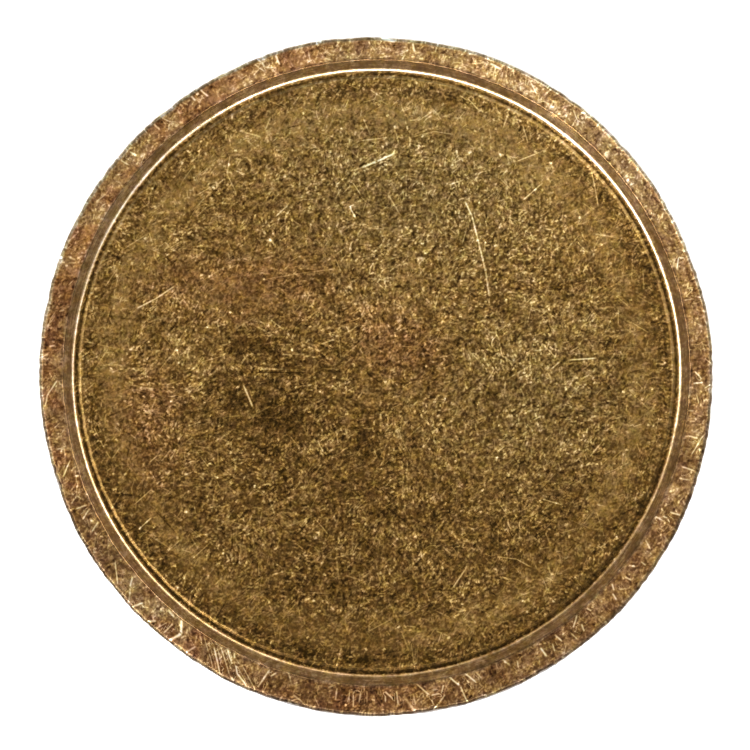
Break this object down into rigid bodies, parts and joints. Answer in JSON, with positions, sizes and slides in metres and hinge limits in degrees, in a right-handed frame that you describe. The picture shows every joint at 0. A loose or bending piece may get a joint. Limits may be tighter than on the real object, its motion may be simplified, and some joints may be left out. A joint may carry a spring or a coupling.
{
  "type": "transit token",
  "caption": "Coin-like fare token: a plain struck brass disc with a raised flat rim and a shallow recessed field, ringed by a fine groove, on each face.",
  "frame": {"origin": "on the token's axis, in the plane of the lower rim's land, on which the token rests", "axes": "+Z along the token's axis, out of its upper face; X and Y lie in the disc's plane, and the plain faces give them no preferred direction"},
  "size_m": [0.023, 0.023, 0.0016],
  "materials": {
    "worn_brass": "worn, finely scratched and tarnished, with bright worn edges"
  },
  "bodies": {
    "root": {"token_disc": "worn_brass"}
  },
  "joints": []
}
